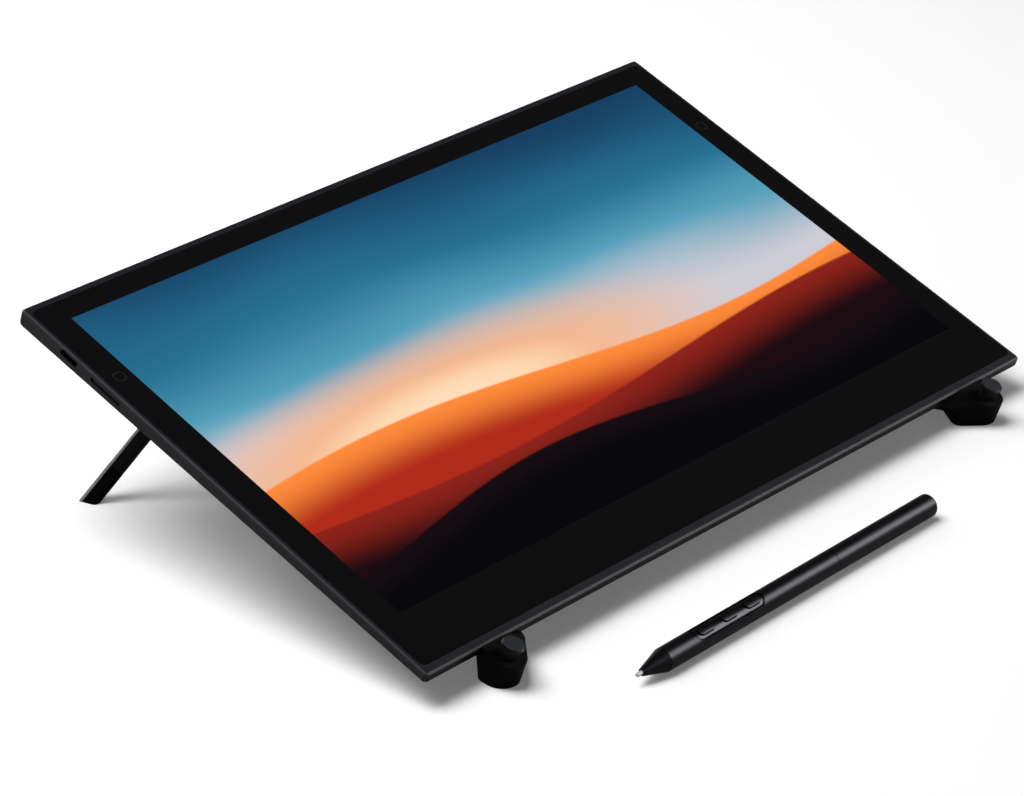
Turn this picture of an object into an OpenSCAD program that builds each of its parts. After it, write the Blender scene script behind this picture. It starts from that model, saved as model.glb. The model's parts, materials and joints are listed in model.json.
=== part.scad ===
// Thin pen display resting on a cross-armed desk stand with folding rear legs,
// with its cordless pen lying in front of it.
// Millimetres, +Z up, the desk is z = 0, +X is to the right of the person drawing.
// Most pieces are drawn in the tablet's own plane: x to the right, y up the
// slope from the top front edge, z along the normal of the drawing face.

/* [Tablet] */
// Width of the tablet, side to side
tab_w = 319; // [304:1:334]
// Depth of the tablet, front edge to back edge
tab_d = 206; // [202:1:216]
// Thickness of the tablet
tab_t = 4; // [3.9:0.1:5]
// Corner radius of the tablet's outline
tab_corner = 1.5; // [1.2:0.1:4]
// Bevel of the lower outer edge
edge_bevel = 0.4; // [0.2:0.1:1]
// Bevel of the upper outer edge
rim_bevel = 0.75; // [0.3:0.05:0.9]
// Height of the rim frame that holds the glass
rim_h = 1.3; // [1.1:0.05:1.4]
// Width of the rim at the left and right of the glass
rim_side = 1.6; // [1.4:0.1:3]
// Width of the rim in front of the glass
rim_front = 3.5; // [2:0.1:4.5]
// Width of the rim behind the glass
rim_back = 3; // [2:0.1:4.5]
// Width of the ledge that the glass is bonded to
ledge_w = 2.1; // [1.2:0.1:2.6]
// Wall of the back cover
cover_wall = 1.6; // [1.2:0.1:1.9]
// Floor of the back cover
cover_floor = 0.4; // [0.3:0.05:0.5]

/* [Screen stack] */
// Border between each side of the tablet and the lit picture area
side_border = 12.5; // [11.5:0.5:16]
// Border between the front edge and the lit picture area
screen_front = 25.5; // [24:0.5:30]
// Border between the back edge and the lit picture area
screen_back = 12.5; // [10:0.5:20]
// Thickness of the cover glass
glass_t = 0.7; // [0.6:0.05:0.75]
// Corner radius of the cover glass
glass_corner = 2.5; // [1.5:0.5:4]
// Thickness of the clear bonding layer
bond_t = 0.14; // [0.1:0.02:0.2]
// Thickness of the display panel
panel_t = 0.96; // [0.8:0.02:1]
// Thickness of the pen sensor board
sensor_t = 0.56; // [0.4:0.02:0.6]
// Thickness of the steel shield plate
shield_t = 0.32; // [0.2:0.02:0.4]
// Border of the panel around the lit area
panel_border = 1.5; // [1:0.1:2]
// Clearance between stacked layers
seat = 0.04; // [0.02:0.01:0.05]

/* [Ports and power button] */
// Width of the port's shell
port_w = 8.8; // [8.6:0.1:9.2]
// Height of the port's shell
port_h = 2.7; // [2.5:0.05:2.75]
// Depth of the port's shell
port_depth = 7.2; // [6:0.1:7.6]
// Wall of the port's shell
port_wall = 0.22; // [0.15:0.01:0.3]
// Depth of the port's mouth behind the tablet's side
port_face = 0.3; // [0.1:0.05:0.5]
// Distance of both ports from the back edge
port_back = 26.5; // [24:0.5:30]
// Length of the power button
power_l = 15.2; // [12:0.1:16]
// Height of the power button
power_h = 1.6; // [1.3:0.1:1.7]
// Distance of the power button from the back edge
power_back = 46; // [45:0.5:50]
// Depth of the power button's face behind the tablet's side
power_face = 0.5; // [0.2:0.05:0.6]
// Travel of the power button
power_travel = 0.4; // [0.3:0.05:0.5]
// Gap around the power button
power_gap = 0.2; // [0.15:0.01:0.25]
// Thickness of the small side boards
side_board_t = 0.6; // [0.5:0.05:0.8]

/* [Main board] */
// Width of the main board
board_w = 180; // [150:1:220]
// Depth of the main board
board_d = 16; // [12:0.5:17]
// Thickness of the main board
board_t = 0.8; // [0.6:0.05:0.9]
// Width of the display's flat lead
flex_w = 60; // [40:1:70]

/* [Underside strips] */
// Length of each rubber strip
strip_l = 150; // [120:1:160]
// Width of each rubber strip
strip_w = 7; // [5:0.5:9]
// Thickness of each rubber strip
strip_t = 0.75; // [0.5:0.05:0.85]
// Distance of each strip from the nearest long edge
strip_inset = 14; // [10:0.5:16]

/* [Stand] */
// Slope of the tablet on the stand, degrees
tilt = 19; // [16:0.5:20]
// Height of the tablet's top front edge above the desk
edge_h = 13; // [12.5:0.1:15]
// Clearance between the tablet and what it rests on
rest_gap = 0.25; // [0.2:0.01:0.35]
// Thickness of the soft rest pads
pad_t = 0.6; // [0.55:0.05:1.2]
// Radius of the soft rest pads
pad_r = 4; // [3:0.1:5]
// Width of the stand's arms
arm_w = 8.4; // [7.5:0.1:9.5]
// Thickness of the stand's arms
arm_t = 2.6; // [2.4:0.1:4]
// Radius of the boss where the arms cross
hub_r = 15; // [12:0.5:20]
// Distance of the crossing from the tablet's back edge
hub_back = 81; // [76:1:96]
// Radius of the rivet at the crossing
rivet_r = 2; // [1.5:0.1:2.5]
// Radius of the rivet's head
rivet_head_r = 4.5; // [3.5:0.1:6]

/* [Front feet] */
// Distance of each foot's nose from the tablet's side
foot_inset = 30.5; // [24:0.5:40]
// Distance of each foot's nose in front of the tablet's front edge
foot_front = 8.1; // [7.6:0.1:9]
// Radius of the rounds of a foot at its lip
foot_r_top = 6.1; // [5.6:0.1:6.8]
// Radius of the round of a foot at its root
foot_r_low = 6; // [5:0.1:6.6]
// Distance from a foot's nose to its inner heel, towards the middle
heel_in = 9.6; // [8:0.1:11]
// Distance from a foot's nose to its heels, up the slope
heel_up = 9; // [8:0.1:10]
// Distance from a foot's nose to its outer heel, towards the middle
heel_out = 1; // [0:0.1:3]
// Height of a foot's lip above the drawing face
foot_lip = 0.2; // [0.1:0.1:1]
// Gap between a foot's lip and the tablet's front edge
lip_gap = 0.4; // [0.3:0.05:0.6]
// Distance from a foot's nose to the end of its arm
arm_short = 8.5; // [8:0.5:11]
// Radius of the stop button
stop_r = 4; // [3.4:0.1:4.6]
// Radius of the stop button's neck
stop_neck_r = 3.2; // [2.6:0.1:3.3]
// Height of the stop button above the lip
stop_h = 5.5; // [4:0.1:6]
// Thickness of the stop button's head
stop_head = 1.5; // [1.2:0.1:1.8]
// Radius of the stop button's stem
stem_r = 2; // [1.6:0.1:2.4]
// Depth of the stop button's stem in the foot
stem_l = 3.8; // [3:0.1:4.5]

/* [Rear legs] */
// Distance of each leg's hinge from the tablet's back edge
hinge_back = 33.3; // [30:0.1:38]
// Drop of the hinge axis below the arm
hinge_drop = 5.05; // [4.5:0.05:6]
// Sideways distance from a leg's hinge to its sole
leg_spread = 53.5; // [45:0.5:60]
// Distance of a folded leg's end from the middle of the tablet
fold_gap = 5.6; // [4:0.1:10]
// Width of a leg, along the slope
leg_w = 6.8; // [5.5:0.1:7.5]
// Thickness of a leg
leg_t = 2.6; // [2.2:0.1:3]
// Rounding of a leg's long edges
leg_edge = 1.1; // [0.8:0.05:1.1]
// Radius of a leg's eye
eye_r = 2.8; // [2.6:0.05:3.4]
// Radius of the hinge pin
pin_r = 1.2; // [1:0.05:1.5]
// Running clearance of the hinge pin
pin_gap = 0.05; // [0.03:0.01:0.08]
// Height of the hinge pin's head
pin_head = 0.6; // [0.4:0.05:0.8]
// Thickness of each hinge lug
lug_t = 2.2; // [1.8:0.1:2.6]
// Gap between a leg and its lugs
lug_gap = 0.3; // [0.25:0.01:0.4]
// Wall of the rubber tip around the leg's tenon
tip_wall = 0.7; // [0.5:0.05:0.8]
// Length of the rubber tip along the leg
tip_l = 15; // [12:0.5:20]
// Length of the leg's tenon inside the rubber tip
tenon_l = 8; // [6:0.5:9]

/* [Pen] */
// Length of the pen
pen_len = 159; // [152:0.5:168]
// Radius of the barrel
pen_r = 4.3; // [4.1:0.1:5]
// Wall of the barrel
pen_wall = 0.8; // [0.7:0.05:0.9]
// Sideways place of the pen's tip
pen_tip_x = -102.8; // [-110:0.1:-90]
// Distance of the pen's axis in front of the tablet's front edge
pen_front = 39.5; // [34:0.5:45]
// Turn of the pen on the desk away from the tablet's front edge, degrees
pen_turn = 0.9; // [0:0.1:5]
// Roll of the button side away from straight up, degrees
pen_roll = 19; // [0:1:45]
// Length of the nib that shows
nib_out = 3; // [2:0.1:4]
// Radius of the nib
nib_r = 0.75; // [0.6:0.05:0.9]
// Travel of the nib
nib_travel = 0.4; // [0.2:0.05:0.45]
// Distance from the tip to the end of the cone
cone_end = 13.5; // [12:0.5:16]
// Radius of the cone at the nib
cone_tip_r = 1.4; // [1.2:0.05:1.8]
// Distance from the tip to the barrel seam
seam_x = 102.5; // [98:0.5:115]
// Width of the groove at the barrel seam
seam_gap = 0.25; // [0.1:0.05:0.4]
// Distance from the tip to the button panel
panel_x = 27.5; // [26.5:0.5:34]
// Length of the button panel
panel_l = 36; // [35:0.5:40]
// Width of the button panel
panel_w = 6.2; // [5.8:0.1:6.4]
// Length of a pen button
key_l = 7.5; // [6:0.1:8.4]
// Width of a pen button
key_w = 3.4; // [2.8:0.1:3.6]
// Spacing of the pen buttons
key_pitch = 12; // [11:0.1:12.2]
// Height of a pen button above the barrel
key_rise = 0.35; // [0.2:0.05:0.5]
// Travel of a pen button
key_travel = 0.4; // [0.25:0.05:0.4]
// Gap around a pen button
key_gap = 0.2; // [0.15:0.01:0.25]
// Gap around the button panel
panel_gap = 0.2; // [0.1:0.05:0.3]
// Depth of the button panel below the barrel's surface
panel_sink = 0.25; // [0.1:0.05:0.3]
// Fit between the pen's joined pieces
pen_fit = 0.03; // [0.02:0.01:0.05]

/* [Hidden] */
$fn = 48;
eps = 0.01;
// A round end is this much wider than the straight sides that run into it
round_over = 0.02;

// Place of the tablet's plane: the footprint is centred on the origin
y_low = -pen_front + cone_end * sin(pen_turn) - pen_r * cos(pen_turn);
y_high = tab_d * cos(tilt) + (tab_t - edge_bevel) * sin(tilt);
y_edge = -(y_low + y_high) / 2;

// Levels along the tablet's normal, from the drawing face down
n_split = -rim_h;
n_floor = -tab_t + cover_floor;
n_glass = -glass_t;
n_bond = n_glass - seat - bond_t;
n_panel = n_bond - seat - panel_t;
n_sensor = n_panel - seat - sensor_t;
n_shield = n_sensor - seat - shield_t;
n_port = n_floor + 1.5 * seat + port_h / 2;
n_power = (n_split + n_floor) / 2;
n_rest = -tab_t - rest_gap;
n_arm_top = n_rest - pad_t;
n_arm = n_arm_top - arm_t;
n_lap = (n_arm_top + n_arm) / 2;
n_hinge = n_arm - hinge_drop;

// Outlines of the tablet
glass_w = tab_w - 2 * rim_side;
glass_d = tab_d - rim_front - rim_back;
screen_w = tab_w - 2 * side_border;
screen_d = tab_d - screen_front - screen_back;
panel_v = screen_front + screen_d / 2;
shield_half = screen_w / 2 + 2 * panel_border;
port_v = tab_d - port_back;
power_v = tab_d - power_back;
board_v = cover_wall + 2;
chip_l = 14;
chip_h = 0.9;
socket_d = 3.4;
socket_h = 1;
socket_v = board_v + board_d - socket_d - 0.6;
lead_t = 0.14;
side_gap = 0.4;
switch_l = 3;
switch_x = tab_w / 2 - cover_wall - switch_l / 2;

// Ends of the stand's arms, on the right-hand side
nose = [tab_w / 2 - foot_inset, -foot_front];
hub_v = tab_d - hub_back;
hub = [0, hub_v];
arm_dir = (hub - nose) / norm(hub - nose);
arm_end = nose + arm_short * arm_dir;
foot_reach = heel_in + heel_up + foot_r_top;
foot_deep = (edge_h + heel_up * sin(tilt)) / cos(tilt) + 1;

// Line of the right-hand leg in the plane of its swing, from its hinge to the desk
hinge_v = tab_d - hinge_back;
n_sole = -(edge_h + hinge_v * sin(tilt)) / cos(tilt);
leg_run = [leg_spread, n_sole - n_hinge];
leg_len = norm(leg_run);
leg_dir = leg_run / leg_len;
leg_out = [-leg_dir[1], leg_dir[0]];
hinge_x = leg_len + fold_gap;
leg_at = [hinge_x, n_hinge];
hinge = [hinge_x, hinge_v];
lug_half = leg_w / 2 + lug_gap + lug_t;
lug_r = eye_r + 0.2;
hinge_boss_r = lug_half + 2.6;

// Pen
pen_ri = pen_r - pen_wall;
panel_mid = panel_x + panel_l / 2;
nib_end = cone_end + 8;
coil_bore = 2.6;
panel_cut = sqrt(pen_ri * pen_ri - panel_w * panel_w / 4) - 0.2;
board_z = 0.4;
switch_z = 1.1;
key_flange = 1.75;
panel_floor = 2.2;
cap_l = 2.5;
cap_plug = 5;
spigot_l = 6;
board_short = 12;

// Rounded rectangle with its front edge on y = 0
module plan(w, d, r, v0 = 0) {
  translate([0, v0]) {
    translate([-w / 2 + r, 0]) square([w - 2 * r, d]);
    translate([-w / 2, r]) square([w, d - 2 * r]);
    for (sx = [-1, 1], y = [r, d - r]) translate([sx * (w / 2 - r), y]) circle(r);
  }
}

// Straight bar in the plane with a round far end
module bar(p, q, w) {
  l = norm(q - p);
  translate(p) rotate(atan2(q[1] - p[1], q[0] - p[0])) {
    translate([0, -w / 2]) square([l, w]);
    translate([l, 0]) circle(w / 2 + round_over);
  }
}

// Bar with two round ends, along x
module slot(l, w) {
  square([l - w, w], center = true);
  for (s = [-1, 1]) translate([s * (l - w) / 2, 0]) circle(w / 2);
}

// Slice of a rounded rectangle from level z0 to z1, drawn in by o0 below and o1 above
module slice(w, d, corner, z0, z1, o0, o1) {
  for (sx = [-1, 1], y = [corner, d - corner]) translate([sx * (w / 2 - corner), y, z0])
    cylinder(r1 = corner - o0, r2 = corner - o1, h = z1 - z0);
  translate([-w / 2 + corner, 0, 0]) rotate([90, 0, 90]) linear_extrude(w - 2 * corner)
    polygon([[o0, z0], [d - o0, z0], [d - o1, z1], [o1, z1]]);
  translate([0, d - corner, 0]) rotate([90, 0, 0]) linear_extrude(d - 2 * corner)
    polygon([[-w / 2 + o0, z0], [w / 2 - o0, z0], [w / 2 - o1, z1], [-w / 2 + o1, z1]]);
}

// Everything in the tablet's plane goes through this
module on_slope() {
  translate([0, y_edge, edge_h]) rotate([tilt, 0, 0]) children();
}

// Layer of the screen stack, from level z0 up to z1
module layer(border, z0, z1, r) {
  w = screen_w + 2 * border;
  d = screen_d + 2 * border;
  on_slope() translate([0, 0, z0]) linear_extrude(z1 - z0)
    plan(w, d, r, panel_v - d / 2);
}

// Shape in the plane of a leg's swing, spread along the slope about its hinge
module swing(t) {
  translate([0, hinge_v + t / 2, 0]) rotate([90, 0, 0]) linear_extrude(t) children();
}

// Frame of the right-hand leg: z runs down the leg from its hinge, y up the slope
module along_leg() {
  translate([hinge_x, hinge_v, n_hinge]) rotate([0, atan2(leg_dir[0], leg_dir[1]), 0]) children();
}

// Stretch of a leg with rounded long edges, drawn in by o, from z0 to z1
module leg_stretch(z0, z1, o) {
  translate([0, -leg_w / 2 + o, z0]) linear_extrude(z1 - z0) plan(leg_t - 2 * o, leg_w - 2 * o, leg_edge - o);
}

// Desk, used to cut what stands on it
module desk() {
  translate([-tab_w, -tab_d - pen_front, -tab_d]) cube([2 * tab_w, 2 * (tab_d + pen_front), tab_d]);
}

// Slot that the port's shell passes through, on the side sx
module port_slot(sx, grow, depth) {
  translate([sx * (tab_w / 2 + 1), port_v, n_port]) rotate([90, 0, -sx * 90])
    linear_extrude(depth + 1) slot(port_w + 2 * grow, port_h + 2 * grow);
}

// Tablet casing
module back_cover() {
  low = -tab_t + edge_bevel;
  color([0.09, 0.09, 0.1]) on_slope() difference() {
    union() {
      translate([0, 0, low]) linear_extrude(n_split - low) plan(tab_w, tab_d, tab_corner);
      slice(tab_w, tab_d, tab_corner, -tab_t, low, edge_bevel, 0);
    }
    translate([0, 0, n_floor]) linear_extrude(tab_t)
      plan(tab_w - 2 * cover_wall, tab_d - 2 * cover_wall, tab_corner / 2, cover_wall);
    for (sx = [-1, 1]) port_slot(sx, seat, cover_wall + 1);
    translate([-tab_w / 2 - 1, power_v, n_power]) rotate([90, 0, 90])
      linear_extrude(cover_wall + 2) slot(power_l + 2 * power_gap, power_h + 2 * power_gap);
  }
}

// Rim with a pocket for the glass and a ledge under it, open at the ports
module frame_rim() {
  low = n_split + seat / 2;
  mid = -rim_bevel;
  port_gap = port_w + 4 * seat;
  color([0.16, 0.17, 0.19]) on_slope() difference() {
    union() {
      translate([0, 0, low]) linear_extrude(mid - low) plan(tab_w, tab_d, tab_corner);
      slice(tab_w, tab_d, tab_corner, mid, 0, 0, rim_bevel);
    }
    translate([0, 0, n_glass - seat]) linear_extrude(glass_t + 1)
      plan(glass_w, glass_d, glass_corner, rim_front);
    translate([0, 0, -tab_t]) linear_extrude(tab_t)
      plan(glass_w - 2 * ledge_w, glass_d - 2 * ledge_w, glass_corner, rim_front + ledge_w);
    for (sx = [-1, 1]) {
      port_slot(sx, seat, rim_side + ledge_w / 2);
      translate([sx * (glass_w / 2 - ledge_w / 2 - 0.5) - ledge_w / 2 - 0.5, port_v - port_gap / 2, -tab_t])
        cube([ledge_w + 1, port_gap, tab_t]);
    }
  }
}

module cover_glass() {
  color([0.02, 0.02, 0.025]) on_slope() translate([0, 0, n_glass]) linear_extrude(glass_t)
    plan(glass_w - 2 * seat, glass_d - 2 * seat, glass_corner - seat, rim_front + seat);
}

module bonding_layer() {
  color([0.75, 0.78, 0.8]) layer(panel_border - 0.5, n_bond, n_glass - seat, 1);
}

module display_panel() {
  color([0.12, 0.3, 0.42]) layer(panel_border, n_panel, n_bond - seat, 1);
}

module pen_sensor_board() {
  color([0.1, 0.35, 0.2]) layer(1.6 * panel_border, n_sensor, n_panel - seat, 1);
}

module shield_plate() {
  color([0.6, 0.62, 0.64]) layer(2 * panel_border, n_shield, n_sensor - seat, 1.5);
}

module foam_sheet() {
  color([0.2, 0.2, 0.2]) layer(1.6 * panel_border, n_floor + seat, n_shield - seat, 1.5);
}

// Board under the wide front border, with its driver chips and connector
module main_board() {
  top = n_floor + seat + board_t;
  color([0.08, 0.3, 0.16]) on_slope() {
    translate([-board_w / 2, board_v, n_floor + seat]) cube([board_w, board_d, board_t]);
    for (i = [0:3]) translate([(i - 1.5) * board_w / 4.4 - chip_l / 2, board_v + 2, top - eps])
      cube([chip_l, board_d / 2 - 1, chip_h]);
    translate([-flex_w / 2, socket_v, top - eps]) cube([flex_w, socket_d, socket_h]);
  }
}

// Flat lead from the panel's front edge to the board's connector
module display_lead() {
  v0 = socket_v + 0.4;
  top = n_floor + seat + board_t + socket_h + seat;
  v1 = panel_v - screen_d / 2 - panel_border - seat;
  color([0.75, 0.5, 0.15]) on_slope()
    translate([-flex_w / 2 + 2, v0, top]) cube([flex_w - 4, v1 - v0, lead_t]);
}

// Small board beside the screen stack that carries a port
module side_board(sx) {
  x0 = shield_half + side_gap;
  x1 = switch_x + 0.1;
  v0 = power_v - power_l / 2 - 3;
  v1 = port_v + port_w / 2 + 5;
  on_slope() difference() {
    translate([sx > 0 ? x0 : -x1, v0, n_floor + seat]) cube([x1 - x0, v1 - v0, side_board_t]);
    translate([sx * (tab_w / 2 - port_depth - port_face - side_gap / 2 + tab_w / 2), port_v, n_port])
      cube([tab_w, port_w + side_gap, tab_t], center = true);
  }
}

module side_board_left() { color([0.08, 0.3, 0.16]) side_board(-1); }

module side_board_right() { color([0.08, 0.3, 0.16]) side_board(1); }

// Oval port shell with its tongue
module usb_port(sx) {
  on_slope() translate([sx * (tab_w / 2 - port_face), port_v, n_port]) rotate([90, 0, -sx * 90]) {
    difference() {
      linear_extrude(port_depth) slot(port_w, port_h);
      translate([0, 0, -1]) linear_extrude(port_depth + 0.5)
        slot(port_w - 2 * port_wall, port_h - 2 * port_wall);
    }
    translate([-port_w / 2 + 1.2, -0.35, 0.8]) cube([port_w - 2.4, 0.7, port_depth - 1]);
  }
}

module usb_port_left() { color([0.62, 0.63, 0.66]) usb_port(-1); }

module usb_port_right() { color([0.62, 0.63, 0.66]) usb_port(1); }

module power_switch() {
  switch_low = n_floor + 2 * seat + side_board_t;
  color([0.7, 0.7, 0.68]) on_slope()
    translate([-switch_x, power_v - 0.75 * switch_l, switch_low])
    cube([switch_l, 1.5 * switch_l, n_power + 0.6 - switch_low]);
}

// Key with a flange behind the wall and a nub that meets the switch
module power_button() {
  x0 = -tab_w / 2 + power_face;
  x1 = -tab_w / 2 + cover_wall + power_gap;
  nub = -switch_x - power_travel - 0.15;
  color([0.14, 0.14, 0.15]) on_slope() translate([0, power_v, n_power]) rotate([90, 0, 90]) {
    translate([0, 0, x0]) linear_extrude(x1 - x0 + eps) slot(power_l, power_h);
    translate([0, 0, x1]) linear_extrude(0.5) slot(power_l + 1.6, power_h + 0.3);
    translate([0, 0, x1]) cylinder(r = 0.5, h = nub - x1, $fn = 24);
  }
}

// Rubber strips that the tablet stands on when it lies flat
module rubber_strip(v) {
  on_slope() translate([0, v, -tab_t - seat / 2 - strip_t]) linear_extrude(strip_t) slot(strip_l, strip_w);
}

module rubber_strip_front() { color([0.05, 0.05, 0.05]) rubber_strip(strip_inset); }

module rubber_strip_rear() { color([0.05, 0.05, 0.05]) rubber_strip(tab_d - strip_inset); }

// Outline of the arm that runs from the right front foot to the left hinge
module arm_outline(grow = 0) {
  bar(hub, arm_end, arm_w + 2 * grow);
  bar(hub, [-hinge[0], hinge[1]], arm_w + 2 * grow);
  translate(hub) circle(hub_r + grow);
  translate([-hinge[0], hinge[1]]) circle(hinge_boss_r + grow);
}

// Two lugs and the web that stops the open leg, on the left hinge
module left_lugs() {
  off = leg_t / 2 + lug_gap;
  x_in = eye_r + lug_gap;
  x_out = hinge_boss_r - 1.2;
  top = n_arm + 0.5;
  near = off * leg_out + (x_in - off * leg_out[0]) / leg_dir[0] * leg_dir;
  far = off * leg_out + (x_out - 1.4 - off * leg_out[0]) / leg_dir[0] * leg_dir;
  web = [[x_in, top - n_hinge], near, far, [x_out, far[1]], [x_out, top - n_hinge]];
  mirror([1, 0, 0]) difference() {
    union() {
      for (s = [-1, 1]) translate([0, s * (lug_half - lug_t / 2), 0]) swing(lug_t) translate(leg_at) {
        circle(lug_r);
        translate([-lug_r + round_over, 0]) square([2 * (lug_r - round_over), top - n_hinge]);
        polygon(web);
      }
      swing(2 * (lug_half - lug_t + eps)) translate(leg_at) polygon(web);
    }
    swing(3 * lug_half) translate(leg_at) circle(pin_r + pen_fit);
  }
}

// Right front foot to left hinge: this arm keeps its lower half at the crossing
module cross_arm_b() {
  color([0.13, 0.13, 0.14]) on_slope() {
    difference() {
      translate([0, 0, n_arm]) linear_extrude(arm_t) arm_outline();
      translate([0, 0, n_lap - seat / 2]) linear_extrude(arm_t) mirror([1, 0]) arm_outline(seat);
      translate([0, hub_v, n_arm - 1]) cylinder(r = rivet_r + pen_fit, h = arm_t + 2);
    }
    left_lugs();
  }
}

// Left front foot to right hinge: this arm keeps its upper half at the crossing
module cross_arm_a() {
  color([0.13, 0.13, 0.14]) on_slope() mirror([1, 0, 0]) {
    difference() {
      translate([0, 0, n_arm]) linear_extrude(arm_t) arm_outline();
      translate([0, 0, n_lap + seat / 2 - arm_t]) linear_extrude(arm_t) mirror([1, 0]) arm_outline(seat);
      translate([0, hub_v, n_arm - 1]) cylinder(r = rivet_r + pen_fit, h = arm_t + 2);
    }
    left_lugs();
  }
}

module centre_rivet() {
  color([0.3, 0.3, 0.32]) on_slope() translate([0, hub_v, 0]) {
    translate([0, 0, n_arm - eps]) cylinder(r = rivet_r, h = arm_t);
    translate([0, 0, n_arm - seat - 1]) cylinder(r1 = rivet_head_r - 0.6, r2 = rivet_head_r, h = 1);
    translate([0, 0, n_arm - seat - eps]) cylinder(r = rivet_r, h = seat + 2 * eps);
  }
}

module centre_pad() {
  color([0.06, 0.06, 0.06]) on_slope() translate([0, hub_v, n_arm_top + seat])
    cylinder(r = hub_r - 3, h = pad_t - seat);
}

// Round of a foot at one level
module foot_disc(at, r, level) {
  translate([at[0], at[1], level]) cylinder(r = r, h = eps, $fn = 40);
}

// Rubber foot with a lip in front of the tablet, drawn on the right-hand side
module front_foot(sx) {
  difference() {
    on_slope() mirror([sx < 0 ? 1 : 0, 0, 0]) difference() {
      hull() {
        for (at = [nose, nose + [-heel_out, heel_up]]) foot_disc(at, foot_r_top, foot_lip - eps);
        foot_disc(nose + [-heel_in, heel_up], foot_r_top, n_rest);
        foot_disc(nose, foot_r_low, -foot_deep);
      }
      translate([nose[0] - foot_reach, -lip_gap, n_rest])
        cube([2 * foot_reach, foot_reach, foot_lip - n_rest + 1]);
      translate([0, 0, n_arm - seat]) linear_extrude(arm_t + 2 * seat) bar(hub, arm_end, arm_w + 2 * seat);
      translate([nose[0], nose[1], foot_lip - stem_l - seat])
        cylinder(r = stem_r + pen_fit, h = stem_l + 1, $fn = 32);
    }
    desk();
  }
}

module front_foot_left() { color([0.05, 0.05, 0.05]) front_foot(-1); }

module front_foot_right() { color([0.05, 0.05, 0.05]) front_foot(1); }

// Round button that keeps the tablet from sliding forward
module stop_button(sx) {
  top = stop_h - stop_head;
  on_slope() translate([sx * nose[0], nose[1], foot_lip + seat]) rotate_extrude($fn = 40)
    polygon([[0, -stem_l], [stem_r, -stem_l], [stem_r, 0], [stop_neck_r, 0], [stop_neck_r, top],
      [stop_r - 0.2, top], [stop_r, top + 0.3], [stop_r, stop_h - 0.5],
      [stop_r - 0.5, stop_h], [0, stop_h]]);
}

module stop_button_left() { color([0.2, 0.21, 0.22]) stop_button(-1); }

module stop_button_right() { color([0.2, 0.21, 0.22]) stop_button(1); }

// Soft pads on the arms' rear ends
module rest_pad(sx) {
  on_slope() translate([sx * hinge[0], hinge[1], n_arm_top + seat]) cylinder(r = pad_r, h = pad_t - seat);
}

module rest_pad_left() { color([0.06, 0.06, 0.06]) rest_pad(-1); }

module rest_pad_right() { color([0.06, 0.06, 0.06]) rest_pad(1); }

// Hinge pin with a head outside one lug
module hinge_pin(sx) {
  on_slope() translate([sx * hinge_x, hinge_v, n_hinge]) rotate([90, 0, 0]) {
    cylinder(r = pin_r, h = 2 * lug_half + pin_head, center = true, $fn = 32);
    translate([0, 0, lug_half + seat]) cylinder(r = pin_r + 0.7, h = pin_head, $fn = 32);
  }
}

module hinge_pin_left() { color([0.45, 0.46, 0.48]) hinge_pin(-1); }

module hinge_pin_right() { color([0.45, 0.46, 0.48]) hinge_pin(1); }

// Folding leg with its eye and the tenon that holds the rubber tip, drawn open on the right-hand side
module rear_leg(sx) {
  on_slope() mirror([sx < 0 ? 1 : 0, 0, 0]) difference() {
    union() {
      along_leg() leg_stretch(0, leg_len - tip_l, 0);
      along_leg() leg_stretch(leg_len - tip_l - eps, leg_len - tip_l + tenon_l, tip_wall);
      swing(leg_w) translate(leg_at) circle(eye_r);
    }
    swing(2 * leg_w) translate(leg_at) circle(pin_r + pin_gap);
  }
}

module rear_leg_left() { color([0.1, 0.1, 0.11]) rear_leg(-1); }

module rear_leg_right() { color([0.1, 0.1, 0.11]) rear_leg(1); }

// Rubber tip that carries on the leg's shape, cut flat where it stands on the desk
module leg_tip(sx) {
  difference() {
    on_slope() mirror([sx < 0 ? 1 : 0, 0, 0]) along_leg() difference() {
      leg_stretch(leg_len - tip_l + seat, leg_len + leg_w, 0);
      leg_stretch(leg_len - tip_l, leg_len - tip_l + tenon_l + seat, tip_wall - seat);
    }
    desk();
  }
}

module leg_tip_left() { color([0.04, 0.04, 0.04]) leg_tip(-1); }

module leg_tip_right() { color([0.04, 0.04, 0.04]) leg_tip(1); }

// Pen frame: x from the tip to the end, z through the buttons
module on_pen() {
  translate([pen_tip_x, y_edge - pen_front, pen_r]) rotate([pen_roll, 0, pen_turn]) children();
}

// Turned piece of the pen from a profile of [radius, distance from the tip]
module turned(points) {
  on_pen() rotate([0, 90, 0]) rotate_extrude() polygon(points);
}

module pen_nib() {
  color([0.55, 0.56, 0.57]) on_pen() rotate([0, 90, 0]) {
    translate([0, 0, nib_r]) sphere(nib_r, $fn = 32);
    translate([0, 0, nib_r]) cylinder(r = nib_r, h = nib_end - nib_r, $fn = 32);
  }
}

module pen_nose() {
  bore = nib_r + 0.05;
  fit = pen_ri - pen_fit;
  color([0.06, 0.06, 0.065]) turned([[bore, nib_out], [cone_tip_r, nib_out], [pen_r, cone_end],
    [fit, cone_end], [fit, cone_end + 6], [coil_bore, cone_end + 6],
    [coil_bore, cone_end - 2.5], [bore, cone_end - 2.5]]);
}

module pen_coil() {
  r = coil_bore - pen_fit;
  color([0.6, 0.32, 0.12]) turned([[nib_r + 0.35, cone_end - 2.4], [r, cone_end - 2.4],
    [r, cone_end + 5.6], [nib_r + 0.35, cone_end + 5.6]]);
}

module pressure_sensor() {
  x0 = nib_end + nib_travel + 0.1;
  r = pen_ri - 0.1;
  color([0.72, 0.72, 0.7]) turned([[0, x0], [r, x0], [r, panel_x - 2], [0, panel_x - 2]]);
}

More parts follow.
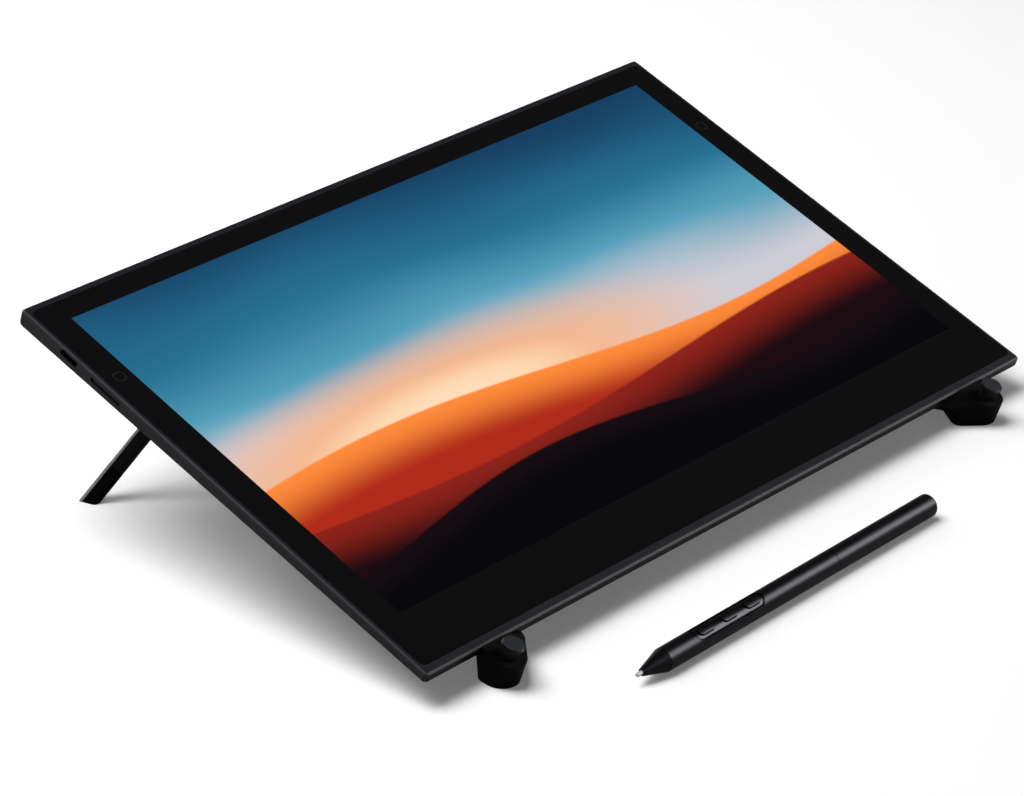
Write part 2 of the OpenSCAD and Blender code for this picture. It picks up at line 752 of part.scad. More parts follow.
module pen_barrel_front() {
  color([0.06, 0.06, 0.065]) difference() {
    turned([[pen_ri, cone_end + pen_fit], [pen_r, cone_end + pen_fit], [pen_r, seam_x], [pen_ri, seam_x]]);
    on_pen() translate([panel_mid, 0, panel_cut]) linear_extrude(pen_r) slot(panel_l, panel_w);
  }
}

// Oval insert that the three buttons come through
module pen_panel() {
  color([0.09, 0.09, 0.1]) on_pen() difference() {
    intersection() {
      translate([panel_mid, 0, panel_floor]) linear_extrude(pen_r)
        slot(panel_l - 2 * panel_gap, panel_w - 2 * panel_gap);
      rotate([0, 90, 0]) cylinder(r = pen_r - panel_sink, h = pen_len);
    }
    for (i = [-1:1]) translate([panel_mid + i * key_pitch, 0, 0]) linear_extrude(2 * pen_r)
      slot(key_l + 2 * key_gap, key_w + 2 * key_gap);
  }
}

// Button with a crowned top and a flange under the panel
module pen_button(i) {
  color([0.07, 0.07, 0.075]) on_pen() {
    intersection() {
      translate([panel_mid + i * key_pitch, 0, key_flange]) linear_extrude(pen_r) slot(key_l, key_w);
      rotate([0, 90, 0]) cylinder(r = pen_r + key_rise, h = pen_len);
    }
    translate([panel_mid + i * key_pitch, 0, key_flange]) linear_extrude(panel_floor - key_flange - 0.1)
      slot(key_l + 1.2, key_w + 1);
  }
}

module pen_button_1() { pen_button(-1); }

module pen_button_2() { pen_button(0); }

module pen_button_3() { pen_button(1); }

// Circuit board with a switch under each button
module pen_board() {
  color([0.08, 0.3, 0.16]) on_pen() {
    translate([panel_x - 1.5, -pen_ri + 0.3, -board_z])
      cube([seam_x - board_short - panel_x, 2 * pen_ri - 0.6, 2 * board_z]);
    for (i = [-1:1]) translate([panel_mid + i * key_pitch - 1.5, -1.3, board_z - eps])
      cube([3, 2.6, switch_z - board_z + eps]);
  }
}

module pen_barrel_rear() {
  fit = pen_ri - pen_fit;
  gap = seam_x + seam_gap;
  end = pen_len - cap_l;
  color([0.06, 0.06, 0.065]) turned([[fit - 0.8, seam_x - spigot_l], [fit, seam_x - spigot_l], [fit, gap],
    [pen_r, gap], [pen_r, end], [pen_ri, end], [pen_ri, gap + 2], [fit - 0.8, gap + 2]]);
}

module pen_end_cap() {
  fit = pen_ri - pen_fit;
  end = pen_len - cap_l + pen_fit;
  color([0.06, 0.06, 0.065]) turned([[0, end - cap_plug], [fit, end - cap_plug], [fit, end], [pen_r, end],
    [pen_r, pen_len - 1], [pen_r - 0.3, pen_len - 0.4], [pen_r - 0.9, pen_len], [0, pen_len]]);
}

back_cover();
frame_rim();
cover_glass();
bonding_layer();
display_panel();
pen_sensor_board();
shield_plate();
foam_sheet();
main_board();
display_lead();
side_board_left();
side_board_right();
usb_port_left();
usb_port_right();
power_switch();
power_button();
rubber_strip_front();
rubber_strip_rear();
cross_arm_a();
cross_arm_b();
centre_rivet();
centre_pad();
front_foot_left();
front_foot_right();
stop_button_left();
stop_button_right();
rest_pad_left();
rest_pad_right();
hinge_pin_left();
hinge_pin_right();
rear_leg_left();
rear_leg_right();
leg_tip_left();
leg_tip_right();
pen_nib();
pen_nose();
pen_coil();
pressure_sensor();
pen_barrel_front();
pen_panel();
pen_button_1();
pen_button_2();
pen_button_3();
pen_board();
pen_barrel_rear();
pen_end_cap();
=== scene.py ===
import json
import math

import bmesh
import bpy
from mathutils import Matrix, Vector


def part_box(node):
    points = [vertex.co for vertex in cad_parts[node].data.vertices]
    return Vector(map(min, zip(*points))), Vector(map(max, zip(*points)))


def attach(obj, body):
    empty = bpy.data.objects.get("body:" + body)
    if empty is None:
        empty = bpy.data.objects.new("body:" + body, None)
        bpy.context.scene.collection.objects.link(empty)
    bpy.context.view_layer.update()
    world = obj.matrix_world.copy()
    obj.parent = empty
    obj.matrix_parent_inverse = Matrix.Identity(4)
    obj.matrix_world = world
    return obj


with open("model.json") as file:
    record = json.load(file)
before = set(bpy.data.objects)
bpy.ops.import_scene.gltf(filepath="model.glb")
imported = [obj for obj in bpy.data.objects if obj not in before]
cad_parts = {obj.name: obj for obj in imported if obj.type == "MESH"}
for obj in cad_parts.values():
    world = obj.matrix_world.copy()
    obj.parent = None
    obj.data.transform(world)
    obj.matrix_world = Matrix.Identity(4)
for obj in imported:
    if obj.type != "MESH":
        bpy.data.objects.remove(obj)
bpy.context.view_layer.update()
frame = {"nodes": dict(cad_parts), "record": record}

# Sizes in metres
MM = 0.001
SCREEN_W = 294 * MM
SCREEN_D = 168 * MM
# The lit area's middle lies this far up the slope from the middle of the drawing face
SCREEN_UP = 6.5 * MM
# The picture sheet stands this much proud of the glass and reaches this far into it
SHEET_PROUD = 0.006 * MM
SHEET_SUNK = 0.05 * MM
# Touch marks: outlined rounded squares on the side borders
MARK_X = 152.1 * MM
MARK_UP = 58.7 * MM
MARK_SIZE = 4.4 * MM
MARK_CORNER = 1.4 * MM
MARK_LINE = 0.35 * MM
# Tint of the pen's reflections
PEN_SHEEN = (0.84, 0.86, 1.0)
# Painted shade: a black ring in the gap around the pen's button panel, wrapped on the barrel
PEN_R = 4.3 * MM
PANEL_L = 36 * MM
PANEL_W = 6.2 * MM
GAP_SHADE_OUT = 0.10 * MM
GAP_SHADE_IN = 0.34 * MM
GAP_SHADE_PROUD = 0.02 * MM
GAP_SHADE_DEEP = 0.35 * MM
GAP_SHADE_STEPS = 12
# Painted highlight, a grey strip along the back edge of each leg: its start, up the slope from the hinge,
# and its blur
LEG_HIGHLIGHT_FROM = 1.65 * MM
LEG_HIGHLIGHT_BLUR = 0.2 * MM
# Painted highlight, a thin pale line on the rim's bevel: its lower and upper end below the glass, and its
# blur
RIM_HIGHLIGHT_LOW = 0.50 * MM
RIM_HIGHLIGHT_HIGH = 0.20 * MM
RIM_HIGHLIGHT_BLUR = 0.10 * MM
# How far a normal points along a direction, for painted highlights and shade: on a bevel that leans from it,
# and on a face that looks that way
BEVEL_RISE = (0.45, 0.60)
BEVEL_FALL = (0.80, 0.92)
FACE_RISE = (0.80, 0.95)
# Values that no place or normal reaches, for painted light without an upper end
NO_FALL = (2, 3)
# Skirt that deepens the casing towards its back edge, round the sides and the back
FACE_W = 319 * MM
FACE_D = 206 * MM
SKIRT_PROUD = 0.02 * MM
SKIRT_REACH = FACE_W / 2 + SKIRT_PROUD
SKIRT_BACK = FACE_D / 2 + SKIRT_PROUD
SKIRT_FRONT = 6 * MM - FACE_D / 2
SKIRT_TOP = -3.57 * MM
SKIRT_LOW = -4 * MM
SKIRT_DROP = 2.5 * MM
SKIRT_WALL = 3.2 * MM
SKIRT_ROUND = 3 * MM
SKIRT_BEVEL = 0.4 * MM
SKIRT_CORNER = 1.5 * MM
SKIRT_STEPS = 5
SKIRT_INSETS = 8
# Points closer than this are one
WELD = 0.001 * MM

# A grain: its broad clouds against the grain's size, the fine share of its colour, its spread in roughness
CLOUD_SCALE = 0.06
FINE_SHARE = 0.6
ROUGH_SPREAD = 0.12
# The glass: its fine tooth and its clouds, in waves to the metre
GLASS_TOOTH = 9000
GLASS_CLOUD = 14
# Its least roughness, the spread above it, and the tooth's height
GLASS_ROUGH = 0.10
GLASS_SPREAD = 0.06
GLASS_DEPTH = 0.0006 * MM
# The picture's hills: the ripple on a ridge, in turns and in height, and the blur of its edge
RIPPLE_TURNS = 4.1
RIPPLE_SHARE = 0.35
RIDGE_BLUR = 0.004

# Floor: half its side, its depth below the feet, its colour and mottle
FLOOR_HALF = 6.0
FLOOR_DROP = 0.1 * MM
FLOOR_ALBEDO = 0.93
FLOOR_MOTTLE = 0.005
# Its glow to the camera and to reflections
FLOOR_LIFT = 0.11
# World: its strength at the horizon, what it loses overhead, and the heights between which it does so
DOME_LOW = 0.50
DOME_LOSS = 0.46
DOME_FADE = (0.05, 0.55)

# Camera at the photograph's angle
CAMERA_AZIMUTH = -46.814
CAMERA_ELEVATION = 26.706
CAMERA_DISTANCE = 1.31525
CAMERA_TARGET = Vector((-0.04696, -0.00799, 0.0480))
CAMERA_LENS = 133.13
SENSOR_WIDTH = 36.0


def linear(red, green, blue):
    """Linear colour from display values of 0 to 255."""
    def one(value):
        value /= 255
        return value / 12.92 if value <= 0.04045 else ((value + 0.055) / 1.055) ** 2.4
    return one(red), one(green), one(blue), 1.0


class Term:
    """A value in a node tree, so that a pattern reads as a formula."""

    def __init__(self, tree, socket):
        self.tree = tree
        self.socket = socket

    def math(self, operation, *others):
        node = self.tree.nodes.new("ShaderNodeMath")
        node.operation = operation
        for socket, value in zip(node.inputs, (self, *others)):
            put(self.tree, value, socket)
        return Term(self.tree, node.outputs[0])

    def __add__(self, other):
        return self.math("ADD", other)

    def __sub__(self, other):
        return self.math("SUBTRACT", other)

    def __mul__(self, other):
        return self.math("MULTIPLY", other)

    def sin(self):
        return self.math("SINE")

    def step(self, low, high):
        """0 below low, 1 above high and smooth between them."""
        node = self.tree.nodes.new("ShaderNodeMapRange")
        node.interpolation_type = "SMOOTHSTEP"
        for name, value in (("Value", self), ("From Min", low), ("From Max", high)):
            put(self.tree, value, node.inputs[name])
        return Term(self.tree, node.outputs["Result"])


def put(tree, value, socket):
    if isinstance(value, Term):
        tree.links.new(value.socket, socket)
    else:
        socket.default_value = value


def mix(factor, first, second):
    """Colour between first and second, by a Term."""
    tree = factor.tree
    node = tree.nodes.new("ShaderNodeMix")
    node.data_type = "RGBA"
    for socket, value in ((node.inputs[0], factor), (node.inputs[6], first), (node.inputs[7], second)):
        put(tree, value, socket)
    return Term(tree, node.outputs[2])


def place(tree, scale=(1, 1, 1)):
    """Object coordinates in metres, times scale."""
    coord = tree.nodes.new("ShaderNodeTexCoord")
    mapping = tree.nodes.new("ShaderNodeMapping")
    mapping.inputs["Scale"].default_value = scale
    tree.links.new(coord.outputs["Object"], mapping.inputs["Vector"])
    return Term(tree, mapping.outputs["Vector"])


def noise(tree, where, scale, detail):
    node = tree.nodes.new("ShaderNodeTexNoise")
    node.inputs["Scale"].default_value = scale
    node.inputs["Detail"].default_value = detail
    put(tree, where, node.inputs["Vector"])
    return Term(tree, node.outputs["Fac"])


def bump(tree, height, distance):
    node = tree.nodes.new("ShaderNodeBump")
    node.inputs["Strength"].default_value = 1.0
    node.inputs["Distance"].default_value = distance
    put(tree, height, node.inputs["Height"])
    return Term(tree, node.outputs["Normal"])


def new_material(name):
    material = bpy.data.materials.new(name)
    material.use_nodes = True
    shader = material.node_tree.nodes["Principled BSDF"]
    return material, material.node_tree, shader


def grained(name, dark, light, rough, grain, depth, gloss=0.5, metallic=0.0, stretch=(1, 1, 1)):
    """Moulded or coated surface: colour, gloss and height all follow one fine grain.

    grain is the size of the grain and depth its height, in metres.
    """
    material, tree, shader = new_material(name)
    where = place(tree, stretch)
    fine = noise(tree, where, 1 / grain, 3.0)
    broad = noise(tree, where, CLOUD_SCALE / grain, 2.0)
    put(tree, mix(fine * FINE_SHARE + broad * (1 - FINE_SHARE), dark, light), shader.inputs["Base Color"])
    put(tree, fine * ROUGH_SPREAD + (rough - ROUGH_SPREAD / 2), shader.inputs["Roughness"])
    put(tree, bump(tree, fine, depth), shader.inputs["Normal"])
    shader.inputs["Specular IOR Level"].default_value = gloss
    shader.inputs["Metallic"].default_value = metallic
    return material


def paint_light_by_direction(material, source, direction, rise, fall, tint):
    """Painted light: another colour where the node's own normal or place, taken along a direction, lies
    between two values.

    source is "Normal" or "Object". The colour comes in over rise and goes out over fall.
    """
    tree = material.node_tree
    colour = tree.nodes["Principled BSDF"].inputs["Base Color"]
    coord = tree.nodes.new("ShaderNodeTexCoord")
    dot = tree.nodes.new("ShaderNodeVectorMath")
    dot.operation = "DOT_PRODUCT"
    dot.inputs[1].default_value = direction
    tree.links.new(coord.outputs[source], dot.inputs[0])
    along = Term(tree, dot.outputs["Value"])
    part = along.step(*rise) - along.step(*fall)
    put(tree, mix(part, Term(tree, colour.links[0].from_socket), tint), colour)


def glass_material():
    """Etched black glass: smooth, with a very fine tooth."""
    material, tree, shader = new_material("etched_glass")
    where = place(tree)
    tooth = noise(tree, where, GLASS_TOOTH, 2.0)
    cloud = noise(tree, where, GLASS_CLOUD, 2.0)
    put(tree, mix(cloud, linear(7, 7, 9), linear(10, 10, 12)), shader.inputs["Base Color"])
    put(tree, tooth * GLASS_SPREAD + GLASS_ROUGH, shader.inputs["Roughness"])
    put(tree, bump(tree, tooth, GLASS_DEPTH), shader.inputs["Normal"])
    shader.inputs["IOR"].default_value = 1.5
    return material


def dune(u, w, picture, level, swell, turns, phase, crest, foot, fall):
    """One layer of the picture: a soft hill whose colour runs from crest down to foot."""
    ridge = (u * (turns * math.tau) + phase).sin() * swell
    ridge = ridge + (u * (turns * RIPPLE_TURNS) + phase * 2).sin() * (swell * RIPPLE_SHARE)
    depth = ridge + level - w
    shade = mix(depth.step(0.0, fall), crest, foot)
    return mix(depth.step(-RIDGE_BLUR, RIDGE_BLUR), picture, shade)


def picture_material():
    """Lit picture: a dusk sky over rolling dunes.

    u and w run from 0 to 1 across and up the picture, and heights and levels are shares of it.
    """
    material, tree, shader = new_material("lit_picture")
    split = tree.nodes.new("ShaderNodeSeparateXYZ")
    put(tree, place(tree), split.inputs[0])
    u = Term(tree, split.outputs["X"]) * (1 / SCREEN_W) + 0.5
    w = Term(tree, split.outputs["Y"]) * (1 / SCREEN_D) + 0.5
    drift = noise(tree, place(tree, (6, 14, 1)), 1.0, 1.0)
    height = w + (drift - 0.5) * 0.22 + (u - 0.5) * 0.10
    sky = mix(height.step(0.42, 0.62), linear(206, 205, 214), linear(88, 164, 190))
    sky = mix(height.step(0.54, 0.80), sky, linear(38, 112, 148))
    sky = mix(height.step(0.74, 1.06), sky, linear(20, 62, 98))
    reach = (u - 0.30) * (u - 0.30) * 1.1 + (w - 0.38) * (w - 0.38) * 5.0
    sky = mix(reach.step(0.30, 0.0) * 0.85, sky, linear(255, 178, 112))
    sky = mix(reach.step(0.075, 0.0) * 0.9, sky, linear(255, 226, 190))
    picture = dune(u, w, sky, 0.37, 0.035, 0.9, 0.5, linear(255, 140, 58), linear(176, 42, 24), 0.13)
    picture = dune(u, w, picture, 0.26, 0.050, 0.7, 3.4, linear(140, 34, 24), linear(26, 8, 14), 0.13)
    picture = dune(u, w, picture, 0.15, 0.045, 1.1, 5.6, linear(20, 9, 15), linear(4, 4, 8), 0.08)
    shader.inputs["Base Color"].default_value = linear(3, 3, 4)
    shader.inputs["Roughness"].default_value = 0.2
    shader.inputs["Specular IOR Level"].default_value = 0.05
    put(tree, picture, shader.inputs["Emission Color"])
    shader.inputs["Emission Strength"].default_value = 1.0
    return material


def dress(nodes, material):
    for name in nodes:
        for slot in frame["nodes"][name].material_slots:
            slot.material = material


joints = {joint["name"]: joint for joint in frame["record"]["behaviour"]["joints"]}

# Frame of the drawing face: x to the right, y up the slope, z out of the glass
face = next(m for m in frame["record"]["mounts"] if m["name"] == "drawing_face")
normal = Vector(face["axis"])
up_slope = Vector((0, normal.z, -normal.y))
FACE = Matrix.Translation(face["pos_m"]) @ Matrix((
    (1, up_slope.x, normal.x, 0), (0, up_slope.y, normal.y, 0), (0, up_slope.z, normal.z, 0), (0, 0, 0, 1)))


def new_piece(name, mesh_builder, material, body, matrix):
    """Piece of the scene that rides on a body, its mesh filled in by mesh_builder."""
    shape = bmesh.new()
    mesh_builder(shape)
    mesh = bpy.data.meshes.new(name)
    shape.to_mesh(mesh)
    shape.free()
    piece = bpy.data.objects.new(name, mesh)
    bpy.context.scene.collection.objects.link(piece)
    piece.matrix_world = matrix
    mesh.materials.append(material)
    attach(piece, body)


def prism(shape, outline, low, high, hole=None):
    """Flat plate between two levels from an outline, with an optional hole of as many points."""
    rings = []
    for points in (outline, hole) if hole else (outline,):
        rings.append([[shape.verts.new((x, y, z)) for x, y in points] for z in (low, high)])
    o_low, o_high = rings[0]
    h_low, h_high = rings[-1]
    count = len(outline)
    for i in range(count):
        j = (i + 1) % count
        shape.faces.new((o_low[i], o_low[j], o_high[j], o_high[i]))
        if hole:
            shape.faces.new((h_low[j], h_low[i], h_high[i], h_high[j]))
            shape.faces.new((o_high[i], o_high[j], h_high[j], h_high[i]))
            shape.faces.new((h_low[i], h_low[j], o_low[j], o_low[i]))
    if not hole:
        shape.faces.new(o_high)
        shape.faces.new(reversed(o_low))


def rounded_box(width, depth, corner, steps=6):
    """Points of a rectangle with round corners, about its middle."""
    points = []
    for quarter, (sx, sy) in enumerate(((1, 1), (-1, 1), (-1, -1), (1, -1))):
        for k in range(steps + 1):
            angle = math.radians(90 * (quarter + k / steps))
            points.append((sx * (width / 2 - corner) + corner * math.cos(angle),
                           sy * (depth / 2 - corner) + corner * math.sin(angle)))
    return points


def build_screen():
    half_w = SCREEN_W / 2
    half_d = SCREEN_D / 2

    def sheet(shape):
        corners = [(-half_w, -half_d), (half_w, -half_d), (half_w, half_d), (-half_w, half_d)]
        prism(shape, corners, -SHEET_SUNK, SHEET_PROUD)

    middle = FACE @ Matrix.Translation((0, SCREEN_UP, 0))
    new_piece("lit_picture", sheet, picture_material(), "tablet", middle)


def build_touch_marks():
    material = grained("mark_print", linear(29, 30, 31), linear(35, 36, 37), 0.5, 0.2 * MM, 0.001 * MM, 0.05)

    def ring(shape):
        size = MARK_SIZE - 2 * MARK_LINE
        outer = rounded_box(MARK_SIZE, MARK_SIZE, MARK_CORNER)
        inner = rounded_box(size, size, MARK_CORNER - MARK_LINE)
        prism(shape, outer, -SHEET_SUNK, SHEET_PROUD, inner)

    for side, x in (("left", -MARK_X), ("right", MARK_X)):
        where = FACE @ Matrix.Translation((x, MARK_UP, 0))
        new_piece("touch_mark_" + side, ring, material, "tablet", where)


def build_panel_gap_shade():
    """Flat black ring of painted shade along the panel's outline, bent round the pen's axis."""
    material = grained("painted_gap_shade", linear(1, 1, 1), linear(3, 3, 3), 0.7, 0.3 * MM, 0.002 * MM, 0.0)
    along = Vector(joints["nib_press"]["axis"]).normalized()
    up = -Vector(joints["pen_button_2_press"]["axis"]).normalized()
    across = up.cross(along)
    axis_point = sum(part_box("pen_barrel_rear"), Vector()) / 2
    panel_point = sum(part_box("pen_panel"), Vector()) / 2
    middle = axis_point + (panel_point - axis_point).dot(along) * along
    where = Matrix.Translation(middle) @ Matrix((along, across, up)).transposed().to_4x4()

    def ring(shape):
        outer_w = PANEL_W + 2 * GAP_SHADE_OUT
        inner_w = PANEL_W - 2 * GAP_SHADE_IN
        outer = rounded_box(PANEL_L + 2 * GAP_SHADE_OUT, outer_w, outer_w / 2 - GAP_SHADE_PROUD, GAP_SHADE_STEPS)
        inner = rounded_box(PANEL_L - 2 * GAP_SHADE_IN, inner_w, inner_w / 2 - GAP_SHADE_PROUD, GAP_SHADE_STEPS)
        prism(shape, outer, PEN_R - GAP_SHADE_DEEP, PEN_R + GAP_SHADE_PROUD, inner)
        for vert in shape.verts:
            vert.co.z = math.sqrt(vert.co.z ** 2 - vert.co.y ** 2)

    new_piece("panel_gap_shade", ring, material, "pen", where)


def skirt_low(y):
    """Height of the skirt's underside: a slope to the back, then round up to the casing's floor."""
    past = min(1, max(0, (y - SKIRT_BACK + SKIRT_ROUND) / SKIRT_ROUND))
    slope = (y - SKIRT_FRONT) / (SKIRT_BACK - SKIRT_FRONT)
    return SKIRT_LOW - SKIRT_DROP * slope * math.sqrt(1 - past ** 2)


def skirt_line(inset):
    """The skirt's plan line at one inset, from left front round the back to right front."""
    reach = SKIRT_REACH - inset
    back = SKIRT_BACK - inset
    corner = max(0, SKIRT_CORNER - inset)
    turn = SKIRT_BACK - SKIRT_CORNER
    side = [SKIRT_FRONT]
    side += [turn - (SKIRT_ROUND - SKIRT_CORNER) * (1 - k / SKIRT_STEPS) for k in range(SKIRT_STEPS)]
    left = [(-reach, min(y, back)) for y in side]
    for k in range(SKIRT_STEPS + 1):
        angle = math.radians(180 - 90 * k / SKIRT_STEPS)
        left.append((-reach + corner * (1 + math.cos(angle)), back - corner * (1 - math.sin(angle))))
    return left + [(-x, y) for x, y in reversed(left)]


def build_skirt(material):
    """Closed strip: down the outer wall, along the underside from inset to inset, up the inner wall."""
    def ring(shape, inset, height):
        return [shape.verts.new((x, y, height(y))) for x, y in skirt_line(inset)]

    def top(y):
        return SKIRT_TOP

    def skirt(shape):
        rings = [ring(shape, 0, top)]
        for k in range(SKIRT_INSETS + 1):
            inset = SKIRT_WALL * (k / SKIRT_INSETS) ** 2
            bevel = max(0, SKIRT_BEVEL - inset)
            rings.append(ring(shape, inset, lambda y: min(SKIRT_TOP, skirt_low(y) + bevel)))
        rings.append(ring(shape, SKIRT_WALL, top))
        for above, below in zip(rings, rings[1:] + rings[:1]):
            for k in range(len(above) - 1):
                shape.faces.new((above[k], above[k + 1], below[k + 1], below[k]))
        shape.faces.new([points[0] for points in rings])
        shape.faces.new([points[-1] for points in reversed(rings)])
        bmesh.ops.remove_doubles(shape, verts=shape.verts, dist=WELD)
        bmesh.ops.recalc_face_normals(shape, faces=shape.faces)

    new_piece("casing_skirt", skirt, material, "tablet", FACE)


def dress_nodes():
    """A material for every solid: first the coats seen from outside, then those of the pieces inside.

    Returns the casing's coat, which the skirt shares.
    """
    rubber, tip = (grained(name, linear(3, 3, 4), linear(6, 6, 7), 0.60, 0.5 * MM, 0.01 * MM, 0.02)
                   for name in ("rubber", "tip_rubber"))
    satin, leg = (grained(name, linear(6, 6, 7), linear(10, 10, 11), 0.42, 0.4 * MM, 0.006 * MM, 0.08)
                  for name in ("satin_plastic", "leg_plastic"))
    # Painted highlight: a pale grey strip along each leg's back edge, on leg_plastic and tip_rubber, copies
    # of satin_plastic and rubber
    start = Vector(joints["leg_left_fold"]["pos_m"]).dot(up_slope) + LEG_HIGHLIGHT_FROM
    rise = (start, start + LEG_HIGHLIGHT_BLUR)
    for material in (leg, tip):
        paint_light_by_direction(material, "Object", up_slope, rise, NO_FALL, linear(116, 117, 120))
    rim = grained("rim_coat", linear(23, 24, 28), linear(30, 31, 36), 0.46, 0.3 * MM, 0.005 * MM, 0.07)
    # Painted highlight: the rim's bevels paler than its flat faces
    paint_light_by_direction(rim, "Normal", normal, BEVEL_RISE, BEVEL_FALL, linear(42, 43, 46))
    # Painted highlight: a thin pale line round the rim's bevel, just below the glass
    level = Vector(face["pos_m"]).dot(normal)
    rise = (level - RIM_HIGHLIGHT_LOW, level - RIM_HIGHLIGHT_LOW + RIM_HIGHLIGHT_BLUR)
    fall = (level - RIM_HIGHLIGHT_HIGH, level - RIM_HIGHLIGHT_HIGH + RIM_HIGHLIGHT_BLUR)
    paint_light_by_direction(rim, "Object", normal, rise, fall, linear(64, 66, 70))
    casing = grained("casing_coat", linear(16, 16, 17), linear(22, 22, 23), 0.45, 0.35 * MM, 0.006 * MM,
                     gloss=0.06)
    stop = grained("stop_plastic", linear(7, 7, 8), linear(11, 11, 12), 0.45, 0.3 * MM, 0.005 * MM, 0.06)
    # Painted highlight: the stop buttons' tops, which look out of the glass, lighter
    paint_light_by_direction(stop, "Normal", normal, FACE_RISE, NO_FALL, linear(36, 39, 43))
    # Painted shade: faces of casing and rim that look down the slope, to the front, darker
    for material in (casing, rim):
        paint_light_by_direction(material, "Normal", -up_slope, FACE_RISE, NO_FALL, linear(5, 5, 6))
    pen = grained("pen_coat", linear(4, 4, 5), linear(8, 8, 9), 0.38, 0.3 * MM, 0.004 * MM, 0.05)
    pen_dark = grained("pen_panel", linear(4, 4, 5), linear(8, 8, 9), 0.34, 0.3 * MM, 0.004 * MM, 0.06)
    for material in (pen, pen_dark):
        material.node_tree.nodes["Principled BSDF"].inputs["Specular Tint"].default_value = (*PEN_SHEEN, 1)
    nib = grained("nib_plastic", linear(150, 151, 153), linear(172, 173, 175), 0.5, 0.3 * MM, 0.004 * MM)
    steel = grained("drawn_steel", linear(150, 151, 154), linear(176, 177, 180), 0.32, 0.3 * MM, 0.002 * MM,
                    metallic=1.0, stretch=(1, 8, 1))
    dark_steel = grained("dark_steel", linear(34, 34, 36), linear(46, 46, 48), 0.42, 0.3 * MM, 0.002 * MM,
                         metallic=1.0, stretch=(8, 1, 1))
    board = grained("solder_mask", linear(14, 66, 36), linear(20, 84, 46), 0.35, 1.0 * MM, 0.01 * MM)
    film = grained("polyimide", linear(150, 92, 24), linear(176, 112, 34), 0.25, 1.0 * MM, 0.004 * MM)
    copper = grained("copper_wire", linear(150, 82, 44), linear(186, 104, 58), 0.3, 0.3 * MM, 0.02 * MM,
                     metallic=1.0, stretch=(12, 1, 1))
    shield = grained("shield_sheet", linear(150, 151, 153), linear(170, 171, 173), 0.4, 0.5 * MM, 0.002 * MM,
                     metallic=1.0, stretch=(1, 12, 12))
    foam = grained("foam", linear(40, 40, 40), linear(60, 60, 60), 0.9, 0.8 * MM, 0.15 * MM)
    clear = grained("clear_adhesive", linear(196, 200, 204), linear(206, 210, 214), 0.2, 2.0 * MM,
                    0.002 * MM)
    panel = grained("panel_edge", linear(20, 30, 40), linear(28, 40, 52), 0.25, 1.0 * MM, 0.002 * MM)
    ivory = grained("moulded_ivory", linear(196, 196, 190), linear(210, 210, 204), 0.5, 0.4 * MM, 0.006 * MM)
    dress(["back_cover"], casing)
    dress(["frame_rim"], rim)
    dress(["cover_glass"], glass_material())
    dress(["bonding_layer"], clear)
    dress(["display_panel"], panel)
    dress(["pen_sensor_board", "main_board", "side_board_left", "side_board_right", "pen_board"], board)
    dress(["shield_plate"], shield)
    dress(["foam_sheet"], foam)
    dress(["display_lead"], film)
    dress(["usb_port_left", "usb_port_right"], dark_steel)
    dress(["centre_rivet", "hinge_pin_left", "hinge_pin_right"], steel)
    dress(["power_switch", "pressure_sensor"], ivory)
    dress(["power_button"], casing)
    dress(["rubber_strip_front", "rubber_strip_rear", "centre_pad", "rest_pad_left", "rest_pad_right",
           "front_foot_left", "front_foot_right"], rubber)
    dress(["leg_tip_left", "leg_tip_right"], tip)
    dress(["cross_arm_a", "cross_arm_b"], satin)
    dress(["rear_leg_left", "rear_leg_right"], leg)
    dress(["stop_button_left", "stop_button_right"], stop)
    dress(["pen_nose", "pen_barrel_front", "pen_barrel_rear", "pen_end_cap"], pen)
    dress(["pen_panel", "pen_button_1", "pen_button_2", "pen_button_3"], pen_dark)
    dress(["pen_nib"], nib)
    dress(["pen_coil"], copper)
    return casing


def build_floor():
    """Pale floor that keeps the shadow and reads as white where it is lit."""
    material, tree, shader = new_material("pale_floor")
    shade = noise(tree, place(tree), 3.0, 1.0)
    low, high = FLOOR_ALBEDO - FLOOR_MOTTLE, FLOOR_ALBEDO
    put(tree, mix(shade, (low, low, low, 1), (high, high, high, 1)), shader.inputs["Base Color"])
    shader.inputs["Roughness"].default_value = 0.9
    shader.inputs["Specular IOR Level"].default_value = 0.0
    rays = tree.nodes.new("ShaderNodeLightPath")
    seen = Term(tree, rays.outputs["Is Camera Ray"]) + Term(tree, rays.outputs["Is Glossy Ray"])
    put(tree, seen * FLOOR_LIFT, shader.inputs["Emission Strength"])
    shader.inputs["Emission Color"].default_value = (1, 1, 1, 1)
    half = FLOOR_HALF
    plan = ((-half, -half), (half, -half), (half, half), (-half, half))
    mesh = bpy.data.meshes.new("floor")
    mesh.from_pydata([(x, y, -FLOOR_DROP) for x, y in plan], [], [(0, 1, 2, 3)])
    mesh.materials.append(material)
    floor = bpy.data.objects.new("floor", mesh)
    bpy.context.scene.collection.objects.link(floor)


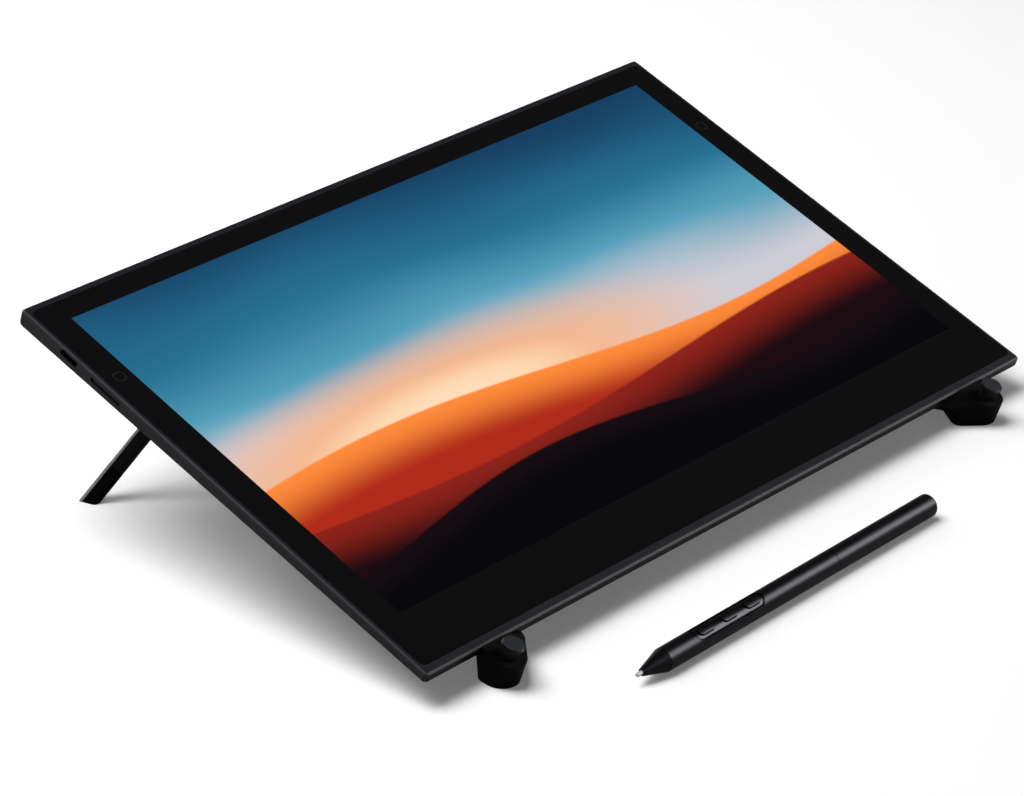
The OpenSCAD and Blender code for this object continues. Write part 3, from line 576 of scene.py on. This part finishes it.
def build_world():
    """White to the camera, and to the object a soft dome that darkens overhead."""
    world = bpy.data.worlds.new("studio")
    bpy.context.scene.world = world
    world.use_nodes = True
    tree = world.node_tree
    background = tree.nodes["Background"]
    coord = tree.nodes.new("ShaderNodeTexCoord")
    split = tree.nodes.new("ShaderNodeSeparateXYZ")
    tree.links.new(coord.outputs["Generated"], split.inputs[0])
    height = Term(tree, split.outputs["Z"])
    rays = tree.nodes.new("ShaderNodeLightPath")
    dome = height.step(*DOME_FADE) * -DOME_LOSS + DOME_LOW
    seen = Term(tree, rays.outputs["Is Camera Ray"])
    put(tree, dome + seen * (dome * -1.0 + 1.0), background.inputs["Strength"])
    background.inputs["Color"].default_value = (1, 1, 1, 1)


def soft_box(name, place_m, target, size, power, shine):
    """Rectangular lamp that either lights what it falls on or, to shine, shows in reflections alone."""
    light = bpy.data.lights.new(name, "AREA")
    light.shape = "RECTANGLE"
    light.size, light.size_y = size
    light.energy = power
    lamp = bpy.data.objects.new(name, light)
    bpy.context.scene.collection.objects.link(lamp)
    lamp.location = place_m
    lamp.visible_glossy = shine
    lamp.visible_diffuse = not shine
    lamp.rotation_euler = (Vector(target) - Vector(place_m)).to_track_quat("-Z", "Y").to_euler()


def build_lights():
    soft_box("overhead", (-0.42, 0.46, 1.5), (0, 0, 0), (1.0, 1.2), 29, False)
    soft_box("behind", (-0.1, 1.9, 1.2), (0, 0, 0), (1.6, 0.8), 9, False)
    soft_box("front_right_shine", (0.95, -0.95, 0.80), (-0.02, -0.11, 0.01), (0.8, 0.8), 110, True)
    soft_box("behind_shine", (0.0, 1.6, 0.5), (-0.13, 0.1, 0.03), (1.2, 0.4), 45, True)


def build_camera():
    azimuth = math.radians(CAMERA_AZIMUTH)
    elevation = math.radians(CAMERA_ELEVATION)
    away = Vector((math.sin(azimuth) * math.cos(elevation), -math.cos(azimuth) * math.cos(elevation),
                   math.sin(elevation)))
    data = bpy.data.cameras.new("camera")
    data.sensor_fit = "HORIZONTAL"
    data.sensor_width = SENSOR_WIDTH
    data.lens = CAMERA_LENS
    data.clip_start = 0.01
    camera = bpy.data.objects.new("camera", data)
    bpy.context.scene.collection.objects.link(camera)
    camera.location = CAMERA_TARGET + CAMERA_DISTANCE * away
    camera.rotation_euler = (-away).to_track_quat("-Z", "Y").to_euler()
    bpy.context.scene.camera = camera


bpy.context.scene.view_settings.view_transform = "Standard"
build_skirt(dress_nodes())
build_screen()
build_touch_marks()
build_panel_gap_shade()
build_floor()
build_world()
build_lights()
build_camera()
